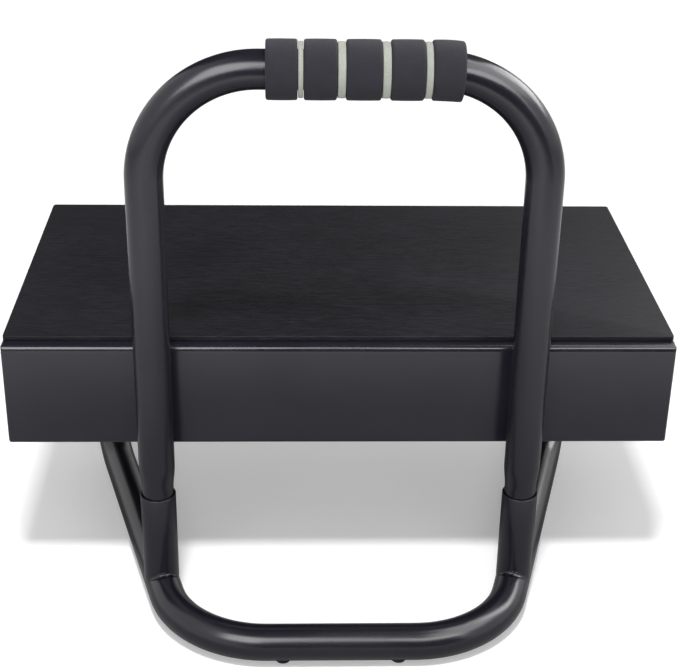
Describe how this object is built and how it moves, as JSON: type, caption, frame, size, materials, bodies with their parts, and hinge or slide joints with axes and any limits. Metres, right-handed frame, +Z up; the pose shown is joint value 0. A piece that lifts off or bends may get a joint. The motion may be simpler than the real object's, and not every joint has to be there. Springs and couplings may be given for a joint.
{
  "type": "adjustable footrest",
  "caption": "Footrest with a flat matted steel tray that tilts on a bent tube stand, locked by hand knobs below, and an inverted-U carrying handle with a striped foam grip.",
  "frame": {"origin": "on the floor, under the middle of the footrest's outline", "axes": "+X to the right seen from the handle side, -Y towards the handle and the toes, +Z up"},
  "size_m": [0.411, 0.3185, 0.3647],
  "materials": {
    "tube_paint": "satin black powder coat",
    "tray_paint": "matt black powder coat",
    "mat": "fine textured",
    "black_foam": "soft closed-cell foam",
    "grey_foam": "soft closed-cell foam",
    "black_plastic": "moulded",
    "foot_rubber": "moulded",
    "zinc": "bright zinc plate"
  },
  "bodies": {
    "stand": {"base_frame_tube": "tube_paint", "handle_socket_left": "tube_paint", "handle_socket_right": "tube_paint", "socket_weld_left": "tube_paint", "socket_weld_right": "tube_paint", "handle_tube": "tube_paint", "handle_screw_left": "zinc", "handle_screw_right": "zinc", "grip_segment_1": "black_foam", "grip_segment_2": "black_foam", "grip_segment_3": "black_foam", "grip_segment_4": "black_foam", "grip_segment_5": "black_foam", "grip_ring_1": "grey_foam", "grip_ring_2": "grey_foam", "grip_ring_3": "grey_foam", "grip_ring_4": "grey_foam", "front_foot_left": "foot_rubber", "front_foot_right": "foot_rubber", "rear_foot_left": "foot_rubber", "rear_foot_right": "foot_rubber", "arm_plug_left": "black_plastic", "arm_plug_right": "black_plastic", "pivot_rod": "zinc", "pivot_nut_left": "zinc", "pivot_nut_right": "zinc", "pivot_spacer_left": "black_plastic", "pivot_spacer_right": "black_plastic", "lock_bolt_left": "zinc", "lock_bolt_right": "zinc", "lock_spacer_left": "black_plastic", "lock_spacer_right": "black_plastic", "lock_saddle_left": "black_plastic", "lock_saddle_right": "black_plastic"},
    "platform": {"platform_tray": "tray_paint", "foot_mat": "mat", "tray_stiffener": "tray_paint", "tilt_bracket_left": "tray_paint", "tilt_bracket_right": "tray_paint"},
    "knob_left": {"lock_knob_left": "black_plastic"},
    "knob_right": {"lock_knob_right": "black_plastic"}
  },
  "joints": [
    {"name": "tray_tilt", "type": "hinge", "parent": "stand", "child": "platform", "pos_m": [0, 0.04225, 0.135], "axis": [-1, 0, 0], "range_deg": [0, 20]},
    {"name": "knob_left_turn", "type": "hinge", "parent": "stand", "child": "knob_left", "pos_m": [-0.1471, -0.01575, 0.135], "axis": [-1, 0, 0], "range_deg": [0, 360]},
    {"name": "knob_right_turn", "type": "hinge", "parent": "stand", "child": "knob_right", "pos_m": [0.1471, -0.01575, 0.135], "axis": [1, 0, 0], "range_deg": [0, 360]}
  ]
}
